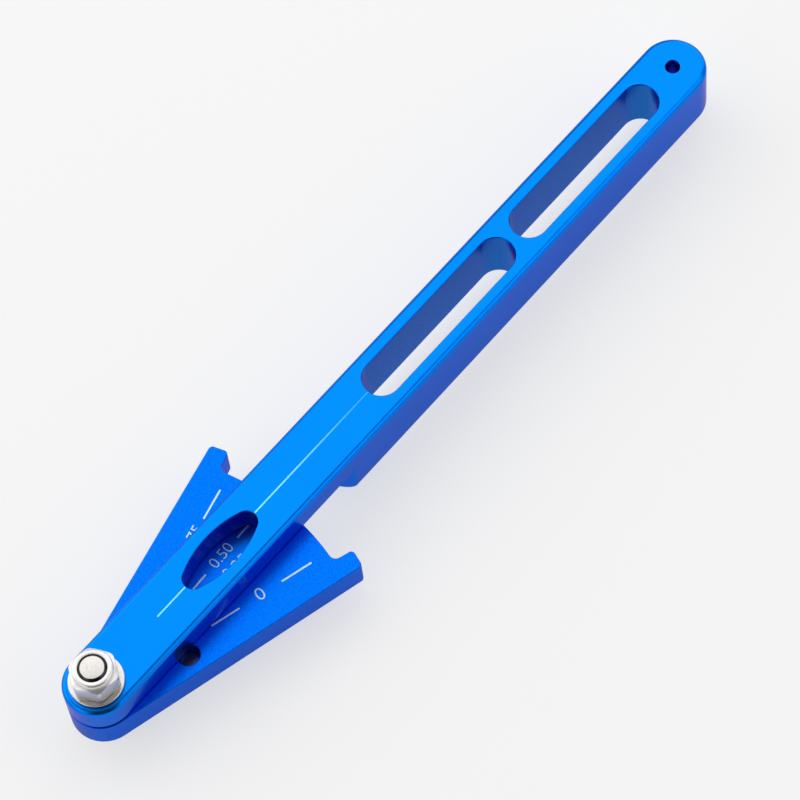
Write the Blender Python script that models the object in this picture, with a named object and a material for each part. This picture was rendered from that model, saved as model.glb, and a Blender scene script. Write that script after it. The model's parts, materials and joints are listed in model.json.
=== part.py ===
"""Chain wear gauge: a slotted bar that carries a swinging scale plate on a bolt.

The fixed measuring pin stands on the origin, tip down, and the bar runs from it towards the pivot
along -X. +Z is up, the side of the nut and the index line. The gauge lies on its two measuring
pins and the head of the pivot bolt, which all reach down to z = 0. All sizes are in metres.
"""
import math

import bmesh
import bpy
from mathutils import Vector

# Bar
PIVOT_TO_PIN = 0.1578        # pivot axis to the axis of the fixed pin
BAR_WIDTH = 0.0125
BAR_HEIGHT = 0.0124          # thick part of the bar
THIN_HEIGHT = 0.0061         # front part above the plate
BAR_FILLET = 0.001           # rounding of the bar's long edges
STEP_BULGE = 0.00175         # how much rounder than the nose the thick part's front end is
STEP_CLEARANCE = 0.0063      # between the horns' path and the thick part

# Slots, window and edge breaks
SLOT_WIDTH = 0.0073
SLOT_SETBACK = 0.0144        # from the front of the thick part to the first slot
SLOT_WEB = 0.0021            # between the two slots
END_WEB = 0.006              # from the second slot to the fixed pin's axis
WINDOW_DISTANCE = 0.0321     # pivot axis to the middle of the window
WINDOW_LENGTH = 0.018
WINDOW_WIDTH = 0.007
WINDOW_END_RADIUS = 0.0021
EDGE_BREAK = 0.00018         # small chamfer round every opening

# Scale plate
PLATE_EDGE = 0.0005          # rounding of the plate's upper edges
PLATE_FOOT_EDGE = 0.0002     # rounding of its lower edges
PLATE_HALF_ANGLE = 14.0      # degrees, between the plate's middle line and each straight edge
PLATE_TURN = -1.0            # degrees, how the plate stands under the bar
ARC_RADIUS = 0.0472          # finger arc
HORN_LENGTH = 0.004
HORN_WIDTH = 0.0036
HORN_FILLET = 0.0013         # inside corner at the foot of a horn
HORN_CORNER = 0.0008         # outside corners of a horn
SWING_PIN_DISTANCE = 0.0167  # pivot axis to the axis of the swinging pin
SWING_PIN_ANGLE = -22.4      # degrees, from the plate's middle line

# Pivot bolt, washers and nut
BOLT_DIAMETER = 0.005
BOLT_TIP_CHAMFER = 0.00038
BOLT_TIP_REACH = 0.0003      # bolt's tip above the nut's top
HEAD_RIM = 0.0022            # bolt head's rim beyond the shank
HEAD_HEIGHT = 0.00275
HEAD_SIDE = 0.0007           # straight side of the head below its dome
SOCKET_ACROSS_FLATS = 0.003
SOCKET_DEPTH = 0.0016
WASHER_RIM = 0.0024          # ring width of both washers
TOP_WASHER_THICKNESS = 0.0006
BOTTOM_WASHER_THICKNESS = 0.001
NUT_HEIGHT = 0.005
NUT_WALL = 0.0014            # metal between the nut's bore and its flats
NUT_COLLAR_HEIGHT = 0.0011
NUT_COLLAR_WALL = 0.0004
NUT_TURN = -5.0              # degrees, how the hexagon stands on the bar
INSERT_WALL = 0.0006
INSERT_HEIGHT = 0.0013

# Measuring pins
PIN_DIAMETER = 0.004
SPIGOT_DIAMETER = 0.0026     # upper end of the fixed pin, in the bar's hole
PIN_TIP_CHAMFER = 0.0003
FIXED_PIN_RECESS = 0.006     # from the bar's top face down to the spigot's end
SWING_PIN_RECESS = 0.003     # from the plate's top face down to the pin's end

# Clearances
RUNNING_CLEARANCE = 0.0001   # radial, round the bolt
PRESS_CLEARANCE = 0.00005    # radial, round the measuring pins
SEAT_GAP = 0.0002            # between faces that bear on each other
LAYER_GAP = 0.0003           # between the bar and the plate

# How far a cutter reaches past what it cuts
CUT_BEYOND = 0.001

# Facets
TURN_SEGMENTS = 48
END_SEGMENTS = 28            # over half a turn
FILLET_SEGMENTS = 4

# Levels, from the supports upwards
bar_bottom = HEAD_HEIGHT + BOTTOM_WASHER_THICKNESS + 2 * SEAT_GAP
bar_top = bar_bottom + BAR_HEIGHT
thin_bottom = bar_top - THIN_HEIGHT
plate_bottom = bar_bottom    # the plate's and the bar's undersides are level
plate_top = thin_bottom - LAYER_GAP

# Places along the bar, measured from the pivot
bore_radius = BOLT_DIAMETER / 2 + RUNNING_CLEARANCE
nose_radius = BAR_WIDTH / 2
horn_radius = ARC_RADIUS + HORN_LENGTH
step_front = horn_radius + STEP_CLEARANCE
slots_start = step_front + SLOT_SETBACK
slots_end = PIVOT_TO_PIN - END_WEB
slot_length = (slots_end - slots_start - SLOT_WEB) / 2

PIVOT = Vector((-PIVOT_TO_PIN, 0.0, 0.0))


# Materials

def make_material(name, colour, roughness, metallic):
    material = bpy.data.materials.new(name)
    material.use_nodes = True
    shader = material.node_tree.nodes["Principled BSDF"]
    shader.inputs["Base Color"].default_value = (*colour, 1.0)
    shader.inputs["Roughness"].default_value = roughness
    shader.inputs["Metallic"].default_value = metallic
    material.diffuse_color = (*colour, 1.0)
    return material


# Outlines: lists of (x, y) that run anticlockwise

def arc(centre, radius, start, end, segments):
    """Points on an arc, both ends included; angles in degrees."""
    points = []
    for i in range(segments + 1):
        angle = math.radians(start + (end - start) * i / segments)
        points.append((centre[0] + radius * math.cos(angle), centre[1] + radius * math.sin(angle)))
    return points


def stadium(start, end, radius):
    """Outline of a bar or slot with round ends; start and end are the centres of the ends."""
    return (arc((end, 0.0), radius, -90, 90, END_SEGMENTS)
            + arc((start, 0.0), radius, 90, 270, END_SEGMENTS))


def oval(middle, half_length, half_width, end_radius):
    """Outline of long side arcs that run smoothly into small end arcs."""
    end = half_length - end_radius
    side_radius = (end ** 2 + half_width ** 2 - end_radius ** 2) / (2 * (half_width - end_radius))
    drop = side_radius - half_width
    meet = math.degrees(math.atan2(drop, end))
    right = arc((middle + end, 0.0), end_radius, -meet, meet, 12)
    top = arc((middle, -drop), side_radius, meet, 180 - meet, 16)
    left = arc((middle - end, 0.0), end_radius, 180 - meet, 180 + meet, 12)
    bottom = arc((middle, drop), side_radius, 180 + meet, 360 - meet, 16)
    return right[:-1] + top[:-1] + left[:-1] + bottom[:-1]


def round_corner(before, corner, after, radius, segments=4):
    """Points of a small arc that takes the place of a corner between two straight lines."""
    corner = Vector(corner)
    to_before = (Vector(before) - corner).normalized()
    to_after = (Vector(after) - corner).normalized()
    half = to_before.angle(to_after) / 2
    reach = radius / math.tan(half)
    centre = corner + (to_before + to_after).normalized() * (radius / math.sin(half))
    first = corner + to_before * reach - centre
    last = corner + to_after * reach - centre
    points = []
    for i in range(segments + 1):
        direction = first.lerp(last, i / segments).normalized()
        points.append(tuple(centre + direction * radius))
    return points


def polar(radius, angle):
    return (radius * math.cos(math.radians(angle)), radius * math.sin(math.radians(angle)))


def mirrored(points):
    """The same points on the other side of the plate's middle line, in reverse order."""
    return [(x, -y) for x, y in reversed(points)]


def plate_outline():
    """Fan with a round nose about the pivot and a finger arc between two horns."""
    edge_angle = PLATE_HALF_ANGLE
    nose_end = polar(nose_radius, edge_angle + 90)
    reach = math.sqrt(horn_radius ** 2 - nose_radius ** 2)
    along = polar(reach, edge_angle)
    outer_corner = (nose_end[0] + along[0], nose_end[1] + along[1])
    outer_angle = math.degrees(math.atan2(outer_corner[1], outer_corner[0]))
    flank_angle = outer_angle - math.degrees(HORN_WIDTH / horn_radius)
    inner_corner = polar(horn_radius, flank_angle)
    # the fillet touches the flank, a line through the pivot, and the finger arc
    fillet_centre_radius = ARC_RADIUS + HORN_FILLET
    swing = math.degrees(math.asin(HORN_FILLET / fillet_centre_radius))
    fillet_centre = polar(fillet_centre_radius, flank_angle - swing)
    fillet = arc(fillet_centre, HORN_FILLET, flank_angle - swing + 180, flank_angle + 90, 5)
    flank_foot = fillet[-1]
    half = arc((0.0, 0.0), ARC_RADIUS, 0, flank_angle - swing, 8)[:-1]
    half += fillet
    half += round_corner(flank_foot, inner_corner, outer_corner, HORN_CORNER)
    half += round_corner(inner_corner, outer_corner, nose_end, HORN_CORNER)
    half += arc((0.0, 0.0), nose_radius, edge_angle + 90, 180, 16)
    return half + mirrored(half)[1:-1]


# Solids

def finish(name, bm, material=None, origin=(0.0, 0.0, 0.0), parent=None):
    """Makes an object of a closed bmesh, with its faces outwards, placed by its own origin."""
    bmesh.ops.remove_doubles(bm, verts=bm.verts, dist=1e-7)
    bmesh.ops.recalc_face_normals(bm, faces=bm.faces)
    mesh = bpy.data.meshes.new(name)
    bm.to_mesh(mesh)
    bm.free()
    mesh.shade_smooth()
    mesh.set_sharp_from_angle(angle=math.radians(30))
    if material is not None:
        mesh.materials.append(material)
    piece = bpy.data.objects.new(name, mesh)
    bpy.context.scene.collection.objects.link(piece)
    piece.parent = parent
    piece.location = origin
    return piece


def layered(levels):
    """Solid through outlines that have equal counts of points, given as (outline, z) upwards."""
    bm = bmesh.new()
    rings = [[bm.verts.new((x, y, z)) for x, y in outline] for outline, z in levels]
    for lower, upper in zip(rings, rings[1:]):
        for i in range(len(lower)):
            j = (i + 1) % len(lower)
            bm.faces.new((lower[i], lower[j], upper[j], upper[i]))
    bm.faces.new(list(reversed(rings[0])))
    bm.faces.new(rings[-1])
    return bm


def slab(outline, bottom, top, lower_edge, upper_edge):
    """Extruded outline whose upper and lower edges are rounded by small bevels."""
    bm = bmesh.new()
    base = bm.faces.new([bm.verts.new((x, y, bottom)) for x, y in outline])
    grown = bmesh.ops.extrude_face_region(bm, geom=[base])
    raised = [item for item in grown["geom"] if isinstance(item, bmesh.types.BMVert)]
    bmesh.ops.translate(bm, verts=raised, vec=(0.0, 0.0, top - bottom))
    bmesh.ops.recalc_face_normals(bm, faces=bm.faces)
    for level, edge in ((top, upper_edge), (bottom, lower_edge)):
        rim = [e for e in bm.edges if all(abs(v.co.z - level) < 1e-7 for v in e.verts)]
        bmesh.ops.bevel(bm, geom=rim, offset=edge, offset_type="OFFSET", segments=2, profile=0.5,
                        affect="EDGES", clamp_overlap=False, material=-1)
    return bm


def turned(profile, segments=TURN_SEGMENTS):
    """Solid of revolution about Z from a list of (radius, z)."""
    bm = bmesh.new()
    verts = [bm.verts.new((radius, 0.0, z)) for radius, z in profile]
    edges = [bm.edges.new((a, b)) for a, b in zip(verts, verts[1:])]
    if profile[0][0] > 0.0:
        edges.append(bm.edges.new((verts[-1], verts[0])))
    bmesh.ops.spin(bm, geom=verts + edges, cent=(0.0, 0.0, 0.0), axis=(0.0, 0.0, 1.0),
                   angle=2 * math.pi, steps=segments, use_merge=True)
    bmesh.ops.remove_doubles(bm, verts=bm.verts, dist=1e-7)
    return bm


def prism(sides, flat_distance, bottom, top, turn=0.0):
    """Regular prism whose flats lie flat_distance from the axis."""
    radius = flat_distance / math.cos(math.pi / sides)
    outline = [polar(radius, turn + 360.0 * i / sides) for i in range(sides)]
    return layered([(outline, bottom), (outline, top)])


def cut(piece, cutter, operation="DIFFERENCE"):
    """Cuts a piece by a hidden cutter that moves with it."""
    cutter.parent = piece
    cutter.hide_render = True
    cutter.display_type = "WIRE"
    modifier = piece.modifiers.new(cutter.name, "BOOLEAN")
    modifier.operation = operation
    modifier.solver = "EXACT"
    modifier.object = cutter


def opening(outline_at, bottom, top):
    """Cutter for a hole that goes right through, with a small chamfer at both rims.

    outline_at gives the hole's outline for a distance by which it is widened.
    """
    wide = EDGE_BREAK + CUT_BEYOND
    return layered([
        (outline_at(wide), bottom - CUT_BEYOND),
        (outline_at(0.0), bottom + EDGE_BREAK),
        (outline_at(0.0), top - EDGE_BREAK),
        (outline_at(wide), top + CUT_BEYOND),
    ])


# Pieces

def build_bar(material):
    """Bar with rounded long edges, a pocket for the plate, slots, window and holes."""
    levels = []
    for i in range(FILLET_SEGMENTS + 1):
        angle = math.pi / 2 * i / FILLET_SEGMENTS
        inset = BAR_FILLET * (1 - math.sin(angle))
        rise = BAR_FILLET * (1 - math.cos(angle))
        levels.append((inset, rise))
    rings = [(inset, bar_bottom + rise) for inset, rise in levels]
    rings += [(inset, bar_top - rise) for inset, rise in reversed(levels)]
    outlines = [(stadium(0.0, PIVOT_TO_PIN, nose_radius - inset), z) for inset, z in rings]
    bar = finish("handle_bar", layered(outlines), material, PIVOT)

    # the pocket leaves a thick part whose front end is round in plan
    span = nose_radius + CUT_BEYOND
    front_radius = nose_radius + STEP_BULGE
    centre = step_front + front_radius
    half_angle = math.degrees(math.asin(span / front_radius))
    front = arc((centre, 0.0), front_radius, 180 + half_angle, 180 - half_angle, 16)
    far = nose_radius * 2
    pocket = [(-far, -far), (front[0][0], -far)] + front + [(front[-1][0], far), (-far, far)]
    cut(bar, finish("pocket_cutter", layered([(pocket, bar_bottom - CUT_BEYOND),
                                              (pocket, thin_bottom)])))

    def slot_outline(start):
        radius = SLOT_WIDTH / 2
        return lambda wider: stadium(start + radius, start + slot_length - radius, radius + wider)

    for name, start in (("near_slot_cutter", slots_start),
                        ("far_slot_cutter", slots_start + slot_length + SLOT_WEB)):
        cut(bar, finish(name, opening(slot_outline(start), bar_bottom, bar_top)))

    def window_outline(wider):
        return oval(WINDOW_DISTANCE, WINDOW_LENGTH / 2 + wider, WINDOW_WIDTH / 2 + wider,
                    WINDOW_END_RADIUS + wider)

    cut(bar, finish("window_cutter", opening(window_outline, thin_bottom, bar_top)))

    def hole_outline(place, radius, segments):
        return lambda wider: arc((place, 0.0), radius + wider, 0, 360, segments)[:-1]

    spigot_hole = SPIGOT_DIAMETER / 2 + PRESS_CLEARANCE
    cut(bar, finish("pin_hole_cutter",
                    opening(hole_outline(PIVOT_TO_PIN, spigot_hole, 24), bar_bottom, bar_top)))
    cut(bar, finish("bar_bore_cutter",
                    opening(hole_outline(0.0, bore_radius, TURN_SEGMENTS), thin_bottom, bar_top)))
    return bar


def build_plate(material, pivot):
    """Scale plate with its bore and the hole of the swinging pin."""
    outline = plate_outline()
    body = slab(outline, plate_bottom, plate_top, PLATE_FOOT_EDGE, PLATE_EDGE)
    plate = finish("scale_plate", body, material, parent=pivot)

    def bore_outline(wider):
        return arc((0.0, 0.0), bore_radius + wider, 0, 360, TURN_SEGMENTS)[:-1]

    def pin_outline(wider):
        place = polar(SWING_PIN_DISTANCE, SWING_PIN_ANGLE)
        radius = PIN_DIAMETER / 2 + PRESS_CLEARANCE
        return arc(place, radius + wider, 0, 360, 32)[:-1]

    cut(plate, finish("plate_bore_cutter", opening(bore_outline, plate_bottom, plate_top)))
    cut(plate, finish("plate_pin_cutter", opening(pin_outline, plate_bottom, plate_top)))
    return plate


def build_washer(name, bottom, thickness, material):
    bore = bore_radius
    rim = bore + WASHER_RIM
    top = bottom + thickness
    edge = thickness * 0.15
    profile = [(bore, bottom), (rim - edge, bottom), (rim, bottom + edge), (rim, top - edge),
               (rim - edge, top), (bore, top)]
    return finish(name, turned(profile), material, PIVOT)


def build_bolt(material, tip):
    """Button-head bolt from below, with a hexagon socket and a chamfered tip."""
    shank = BOLT_DIAMETER / 2
    rim = shank + HEAD_RIM
    seat = HEAD_HEIGHT
    land = SOCKET_ACROSS_FLATS / 2 + 0.0006
    dome = seat - HEAD_SIDE
    profile = [(0.0, 0.0), (land, 0.0)]
    for i in range(1, 7):
        angle = math.pi / 2 * i / 6
        profile.append((land + (rim - land) * math.sin(angle), dome * (1 - math.cos(angle))))
    profile += [(rim, seat), (shank, seat), (shank, tip - BOLT_TIP_CHAMFER),
                (shank - BOLT_TIP_CHAMFER, tip), (0.0, tip)]
    bolt = finish("pivot_bolt", turned(profile), material, PIVOT)
    socket = prism(6, SOCKET_ACROSS_FLATS / 2, -CUT_BEYOND, SOCKET_DEPTH)
    cut(bolt, finish("socket_cutter", socket))
    return bolt


def build_nut(nut_material, insert_material, bottom):
    """Hexagon nut with a round collar that holds a plastic locking ring."""
    thread = bore_radius
    flat = thread + NUT_WALL
    corner = flat / math.cos(math.pi / 6)
    insert_outer = thread + INSERT_WALL
    groove = insert_outer + PRESS_CLEARANCE
    collar = groove + NUT_COLLAR_WALL
    top = bottom + NUT_HEIGHT
    shoulder = top - NUT_COLLAR_HEIGHT
    lip = NUT_COLLAR_WALL
    insert_top = top - lip - PRESS_CLEARANCE
    insert_bottom = insert_top - INSERT_HEIGHT
    groove_bottom = insert_bottom - PRESS_CLEARANCE
    chamfer = corner - flat
    slope = math.tan(math.radians(30))
    profile = [
        (thread, bottom),
        (flat, bottom),
        (corner, bottom + chamfer * slope),
        (corner, shoulder - (corner - collar) * slope),
        (collar, shoulder),
        (collar, top - NUT_COLLAR_WALL * 1.5),
        (collar - NUT_COLLAR_WALL * 0.3, top - NUT_COLLAR_WALL * 0.7),
        (collar - NUT_COLLAR_WALL * 0.8, top - NUT_COLLAR_WALL * 0.2),
        (collar - NUT_COLLAR_WALL * 1.3, top),
        (thread, top),
        (thread, insert_top + PRESS_CLEARANCE),
        (groove, insert_top + PRESS_CLEARANCE),
        (groove, groove_bottom),
        (thread, groove_bottom),
    ]
    nut = finish("lock_nut", turned(profile), nut_material, PIVOT)
    hexagon = prism(6, flat, bottom - CUT_BEYOND, top + CUT_BEYOND, turn=NUT_TURN)
    cut(nut, finish("nut_hexagon", hexagon), "INTERSECT")
    ring = turned([(thread, insert_bottom), (insert_outer, insert_bottom),
                   (insert_outer, insert_top), (thread, insert_top)])
    insert = finish("nut_insert", ring, insert_material, PIVOT)
    return nut, insert


def build_fixed_pin(material):
    """Measuring pin with a spigot that is pressed into the bar's hole."""
    radius = PIN_DIAMETER / 2
    spigot = SPIGOT_DIAMETER / 2
    chamfer = PIN_TIP_CHAMFER
    shoulder = bar_bottom - SEAT_GAP
    end = bar_top - FIXED_PIN_RECESS
    profile = [(0.0, 0.0), (radius - chamfer, 0.0), (radius, chamfer), (radius, shoulder),
               (spigot, shoulder), (spigot, end - chamfer), (spigot - chamfer, end), (0.0, end)]
    return finish("fixed_pin", turned(profile, 32), material)


def build_swing_pin(material, pivot):
    """Measuring pin that is pressed into the plate's hole."""
    radius = PIN_DIAMETER / 2
    chamfer = PIN_TIP_CHAMFER
    end = plate_top - SWING_PIN_RECESS
    profile = [(0.0, 0.0), (radius - chamfer, 0.0), (radius, chamfer), (radius, end - chamfer),
               (radius - chamfer, end), (0.0, end)]
    place = (*polar(SWING_PIN_DISTANCE, SWING_PIN_ANGLE), 0.0)
    return finish("swing_pin", turned(profile, 32), material, place, pivot)


def main():
    for old in list(bpy.data.objects):
        bpy.data.objects.remove(old, do_unlink=True)

    aluminium = make_material("anodised_blue", (0.0, 0.16, 0.85), 0.35, 0.6)
    plate_aluminium = make_material("anodised_blue_plate", (0.0, 0.14, 0.8), 0.4, 0.6)
    steel = make_material("stainless_steel", (0.72, 0.69, 0.66), 0.25, 1.0)
    pin_steel = make_material("hardened_steel", (0.45, 0.44, 0.44), 0.3, 1.0)
    plastic = make_material("dark_plastic", (0.04, 0.035, 0.035), 0.5, 0.0)

    pivot = bpy.data.objects.new("plate_pivot", None)
    pivot.location = PIVOT
    pivot.rotation_euler = (0.0, 0.0, math.radians(PLATE_TURN))
    bpy.context.scene.collection.objects.link(pivot)

    build_bar(aluminium)
    build_plate(plate_aluminium, pivot)
    build_washer("bottom_washer", HEAD_HEIGHT + SEAT_GAP, BOTTOM_WASHER_THICKNESS, steel)
    washer_bottom = bar_top + SEAT_GAP
    nut_bottom = washer_bottom + TOP_WASHER_THICKNESS + SEAT_GAP
    build_washer("top_washer", washer_bottom, TOP_WASHER_THICKNESS, steel)
    build_nut(steel, plastic, nut_bottom)
    build_bolt(steel, nut_bottom + NUT_HEIGHT + BOLT_TIP_REACH)
    build_fixed_pin(pin_steel)
    build_swing_pin(pin_steel, pivot)


main()
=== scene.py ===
# %% [markdown]
# # A chain wear gauge
# A bicycle chain grows longer as its pins wear. This gauge reads that: one pin stands in the end of a
# long bar, a second pin swings on a fan-shaped plate, and the line at the bar's window shows the wear
# on the plate's scale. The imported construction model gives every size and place. This file makes the
# finished look: soft milled edges, blue anodising, bright steel and white laser marks.

# %% Load the construction model
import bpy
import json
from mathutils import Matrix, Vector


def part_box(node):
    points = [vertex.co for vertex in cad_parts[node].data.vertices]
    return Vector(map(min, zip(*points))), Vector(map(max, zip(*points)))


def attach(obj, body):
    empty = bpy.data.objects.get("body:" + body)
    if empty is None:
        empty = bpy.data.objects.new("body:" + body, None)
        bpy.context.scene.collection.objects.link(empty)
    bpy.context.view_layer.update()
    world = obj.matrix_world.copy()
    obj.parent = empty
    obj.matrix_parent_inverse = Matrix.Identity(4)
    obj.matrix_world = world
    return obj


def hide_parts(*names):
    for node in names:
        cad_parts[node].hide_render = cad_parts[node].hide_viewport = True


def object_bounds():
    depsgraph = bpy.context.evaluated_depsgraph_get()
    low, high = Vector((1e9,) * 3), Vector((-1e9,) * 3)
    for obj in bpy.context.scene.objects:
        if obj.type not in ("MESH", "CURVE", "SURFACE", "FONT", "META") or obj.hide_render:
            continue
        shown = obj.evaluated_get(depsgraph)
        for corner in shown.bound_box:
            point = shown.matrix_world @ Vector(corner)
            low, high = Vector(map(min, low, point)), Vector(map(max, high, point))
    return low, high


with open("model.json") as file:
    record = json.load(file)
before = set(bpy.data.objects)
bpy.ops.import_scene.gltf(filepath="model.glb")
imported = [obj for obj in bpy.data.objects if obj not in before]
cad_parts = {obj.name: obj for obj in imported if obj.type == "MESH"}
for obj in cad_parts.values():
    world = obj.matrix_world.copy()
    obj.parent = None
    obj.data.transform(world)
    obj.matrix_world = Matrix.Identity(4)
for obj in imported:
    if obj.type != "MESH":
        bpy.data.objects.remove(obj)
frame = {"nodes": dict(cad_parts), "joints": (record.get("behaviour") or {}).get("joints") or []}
cad_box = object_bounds()
print("construction model:", [tuple(round(c * 1000, 2) for c in corner) for corner in cad_box], "mm")

# %% Modules and units
import json
import math

import bmesh
import bpy
from mathutils import Matrix, Quaternion, Vector

MM = 0.001
scene = bpy.context.scene
print("nodes:", sorted(frame["nodes"]))

# %% [markdown]
# ## Places and levels
# Nothing is fitted by eye here: the levels of each layer are read from the boxes of the construction
# model, and the pivot from its joint. A size that the boxes don't tell, such as a slot's width, is a
# named value beside the piece that uses it. The gap between the bar's thin part and the plate is one
# of these: it is drawn a little wider than it may be on the real gauge, so that it can be seen.

# %% Read the levels
bar_low, bar_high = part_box("handle_bar")
plate_low, plate_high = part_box("scale_plate")
pivot = Vector((frame["joints"][0]["pos_m"][0], 0.0, 0.0))
bar_half = bar_high.y
bar_reach = bar_high.x - bar_half - pivot.x
LAYER_GAP = 0.5 * MM
BORE_RADIUS = 2.6 * MM
thin_bottom = plate_high.z + LAYER_GAP
print(f"pivot to pin {bar_reach / MM:.1f} mm, bar {bar_half * 2 / MM:.1f} mm wide,"
      f" thin part {(bar_high.z - thin_bottom) / MM:.2f} mm high")

# %% [markdown]
# ## Shader maths as Python
# A node tree is easier to read as an expression. `Wire` wraps an output socket and overloads the
# operators, so `1 - mask * 0.3` adds its Math nodes by itself. Any other node comes from one method,
# which takes the node's type, its settings, and what goes into its sockets.

# %% The socket class
class Wire:
    """An output socket of a shader, on which Python's operators add Math nodes."""

    def __init__(self, tree, socket):
        self.tree = tree
        self.socket = socket

    @staticmethod
    def node(tree, kind, settings=None, sockets=None, output=0):
        """Adds a node; settings are set first, then each socket gets a value or a link."""
        made = tree.nodes.new(kind)
        for name, value in (settings or {}).items():
            setattr(made, name, value)
        for name, value in (sockets or {}).items():
            if isinstance(value, Wire):
                tree.links.new(value.socket, made.inputs[name])
            else:
                made.inputs[name].default_value = value
        return Wire(tree, made.outputs[output])

    def maths(self, operation, first, second):
        return Wire.node(self.tree, "ShaderNodeMath", {"operation": operation},
                         {0: first, 1: second})

    def __add__(self, other):
        return self.maths("ADD", self, other)

    def __sub__(self, other):
        return self.maths("SUBTRACT", self, other)

    def __rsub__(self, other):
        return self.maths("SUBTRACT", other, self)

    def __mul__(self, other):
        return self.maths("MULTIPLY", self, other)

    __radd__ = __add__
    __rmul__ = __mul__


# %% Helpers that the finishes share
def blank_material(name, **sockets):
    """A material whose shader has these even values; returns it, its tree and its shader."""
    material = bpy.data.materials.new(name)
    material.use_nodes = True
    tree = material.node_tree
    shader = tree.nodes["Principled BSDF"]
    for socket, value in sockets.items():
        shader.inputs[socket.replace("_", " ")].default_value = value
    return material, tree, shader


def feed(shader, name, wire):
    wire.tree.links.new(wire.socket, shader.inputs[name])


def object_place(tree):
    return Wire.node(tree, "ShaderNodeTexCoord", output="Object")


def noise(tree, place, size, detail=2.0):
    """Cloudy values from 0 to 1 whose spots are about this size, in metres."""
    return Wire.node(tree, "ShaderNodeTexNoise", None,
                     {"Vector": place, "Scale": 1.0 / size, "Detail": detail}, output="Fac")


def ramp(value, low, high, start=0.0, end=1.0):
    """Runs smoothly from start to end as the value goes from low to high."""
    return Wire.node(value.tree, "ShaderNodeMapRange", {"interpolation_type": "SMOOTHSTEP"},
                     {"Value": value, "From Min": low, "From Max": high,
                      "To Min": start, "To Max": end})


def blend_colours(factor, first, second):
    """Goes from the first colour to the second as the factor goes from 0 to 1."""
    a_colour, b_colour, result_colour = 6, 7, 2
    return Wire.node(factor.tree, "ShaderNodeMix", {"data_type": "RGBA"},
                     {0: factor, a_colour: first, b_colour: second}, output=result_colour)


def bump(shader, height, depth):
    """Makes the surface rise by up to this depth, in metres, where the height is 1."""
    relief = Wire.node(height.tree, "ShaderNodeBump", None,
                       {"Height": height, "Distance": depth, "Strength": 1.0})
    feed(shader, "Normal", relief)

# %% [markdown]
# ## Blue anodising
# Anodised aluminium is metal seen through a dyed, glassy layer. A dyed metal's own colour tints what
# it reflects, and at a glancing look it pales by itself, as the bar's side walls do here, so one
# metallic shader gives both. Its Specular Tint is the colour of that glancing look. A cutter leaves
# the walls of the slots and the window less even than the outside, so they get a coarser grain and a
# rougher shine; their darker, greyer dye is painted shade, darkest in the window. The plate was
# blasted with fine beads before it was dyed, so it gets a coarser grain and a rougher shine than the
# bar.

# %% Dyed metal for the bar and the plate
DYE = (0.001, 0.218, 0.90, 1.0)
DEEP_DYE = (0.0, 0.11, 0.60, 1.0)
# Painted shade: the slot walls get a darker, greyer dye than the bar, and the window walls a darker
# one still.
SLOT_WALL_SHADE_DYE = (0.02, 0.235, 0.70, 1.0)
DEEP_SLOT_WALL_SHADE_DYE = (0.01, 0.15, 0.50, 1.0)
WINDOW_WALL_SHADE_DYE = (0.0, 0.12, 0.62, 1.0)
DEEP_WINDOW_WALL_SHADE_DYE = (0.0, 0.07, 0.45, 1.0)
PLATE_DYE = (0.001, 0.185, 0.95, 1.0)
DEEP_PLATE_DYE = (0.0, 0.09, 0.72, 1.0)
GLANCING_TINT = (0.70, 0.50, 0.66, 1.0)
PLATE_GLANCING_TINT = (0.70, 0.55, 0.48, 1.0)
CLOUD_SIZE = 14 * MM
CLOUD_SHADE = 0.05
GRAIN_ROUGHNESS = 0.08


def anodised(name, dye, deep_dye, glancing, grain_size, grain_depth, grain_shade, roughness):
    """Dyed metal whose grain of this size and depth deepens the dye and roughens the shine."""
    material, tree, shader = blank_material(name, Metallic=1.0, Specular_Tint=glancing)
    place = object_place(tree)
    grain = noise(tree, place, grain_size, detail=3.0)
    cloud = noise(tree, place, CLOUD_SIZE, detail=1.0)
    depth = ramp(grain, 0.35, 0.7) * grain_shade + ramp(cloud, 0.3, 0.7) * CLOUD_SHADE
    feed(shader, "Base Color", blend_colours(depth, dye, deep_dye))
    feed(shader, "Roughness", grain * GRAIN_ROUGHNESS + (roughness - GRAIN_ROUGHNESS / 2))
    bump(shader, grain, grain_depth)
    return material


bar_blue = anodised("satin_blue_anodising", DYE, DEEP_DYE, GLANCING_TINT,
                    0.12 * MM, 0.002 * MM, 0.04, 0.24)
slot_wall_painted_shade = anodised("slot_wall_shade_anodising", SLOT_WALL_SHADE_DYE, DEEP_SLOT_WALL_SHADE_DYE, GLANCING_TINT,
                     0.2 * MM, 0.003 * MM, 0.1, 0.28)
window_wall_painted_shade = anodised("window_wall_shade_anodising", WINDOW_WALL_SHADE_DYE, DEEP_WINDOW_WALL_SHADE_DYE, GLANCING_TINT,
                       0.2 * MM, 0.003 * MM, 0.1, 0.28)
plate_blue = anodised("blasted_blue_anodising", PLATE_DYE, DEEP_PLATE_DYE, PLATE_GLANCING_TINT,
                      0.34 * MM, 0.022 * MM, 0.5, 0.34)
print("anodising:", bar_blue.name, slot_wall_painted_shade.name, window_wall_painted_shade.name, plate_blue.name)

# %% [markdown]
# ## Steel, plastic and laser marks
# The nut, washers and bolt are stainless steel, turned or stamped: fine rings about their own axis
# catch the light. A Mapping node puts the pattern's centre on that axis, and the distance from it,
# fed to a noise, gives rings without end. The three differ in brightness, and the nut, whose flats
# are the softest, is the least metallic. The marks are burnt into the dye by a laser, which leaves a
# chalky white with some of the metal's shine. The index line is burnt less deeply: it stays bluish
# and fades towards the slots. The nut's locking ring is a dark nylon.

# %% Turned steel
BRIGHT = (0.72, 0.695, 0.665, 1.0)
SHADED = (0.50, 0.46, 0.43, 1.0)
NUT_BRIGHT = (0.90, 0.88, 0.87, 1.0)
NUT_SHADED = (0.66, 0.64, 0.63, 1.0)
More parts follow.
